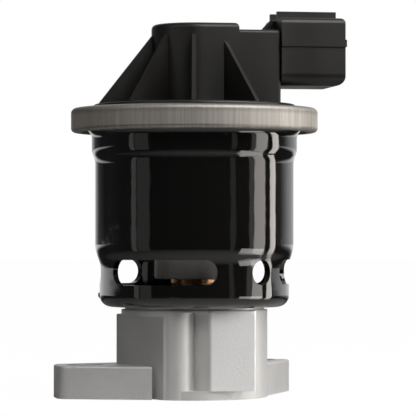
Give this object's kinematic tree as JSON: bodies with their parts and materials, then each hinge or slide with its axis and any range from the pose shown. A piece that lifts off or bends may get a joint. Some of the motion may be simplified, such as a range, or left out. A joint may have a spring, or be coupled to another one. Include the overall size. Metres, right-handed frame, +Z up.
{
  "type": "exhaust gas recirculation valve",
  "caption": "Electric exhaust gas recirculation valve: two-lug cast base, slotted black shell, crimped band, and a gusseted cap with a side connector.",
  "frame": {"origin": "centre of the inlet port on the mounting face, on the valve axis", "axes": "+Z up the valve axis towards the cap, +X along the connector, out of its mouth; the first lug points along -X"},
  "size_m": [0.0733, 0.0632, 0.0985],
  "materials": {
    "cast_aluminium": "as cast, fine grain",
    "seat_steel": "ground",
    "sintered_iron": "sintered, matte",
    "seal_graphite": "matte",
    "bright_steel": "satin",
    "zinc_plate": "zinc plated",
    "black_paint": "high gloss",
    "pole_steel": "dark, fine grain",
    "bronze": "turned",
    "stainless": "brushed",
    "spring_steel": "drawn wire",
    "bobbin_plastic": "moulded",
    "copper_wire": "enamelled",
    "black_rubber": "satin",
    "cap_plastic": "moulded, satin",
    "tinned_brass": "tinned",
    "card_ceramic": "fired ceramic",
    "holder_plastic": "moulded, natural"
  },
  "bodies": {
    "housing": {"valve_body": "cast_aluminium", "valve_seat": "seat_steel", "stem_guide_bush": "sintered_iron", "stem_seal": "seal_graphite", "seal_cup": "bright_steel", "shell_screws": "zinc_plate", "outer_shell": "black_paint", "lower_yoke": "pole_steel", "lower_bush": "bronze", "yoke_tube": "pole_steel", "upper_pole": "pole_steel", "coil_bobbin": "bobbin_plastic", "coil_winding": "copper_wire", "armature_sleeve": "stainless", "return_spring": "spring_steel", "clamp_spring": "spring_steel", "cap_seal": "black_rubber", "top_cap": "cap_plastic", "crimp_ring": "stainless", "terminal_pins": "tinned_brass", "coil_terminals": "tinned_brass", "sensor_card": "card_ceramic", "sensor_holder": "holder_plastic", "sensor_spring": "spring_steel"},
    "valve": {"armature": "bright_steel", "valve_stem": "bright_steel", "valve_head": "bright_steel", "stem_nut": "zinc_plate"},
    "sensor": {"sensor_plunger": "holder_plastic", "wiper_brush": "bronze"}
  },
  "joints": [
    {"name": "valve_lift", "type": "slide", "parent": "housing", "child": "valve", "axis": [0, 0, 1], "range_m": [0, 0.0045], "stiffness_N_per_m": 1500, "springref_m": -0.008, "deforming": ["return_spring"]},
    {"name": "sensor_slide", "type": "slide", "parent": "housing", "child": "sensor", "axis": [0, 0, 1], "range_m": [0, 0.0045], "stiffness_N_per_m": 150, "springref_m": -0.008, "deforming": ["sensor_spring"]}
  ],
  "couplings": [
    {"joint": "sensor_slide", "follows": "valve_lift", "ratio": 1}
  ]
}
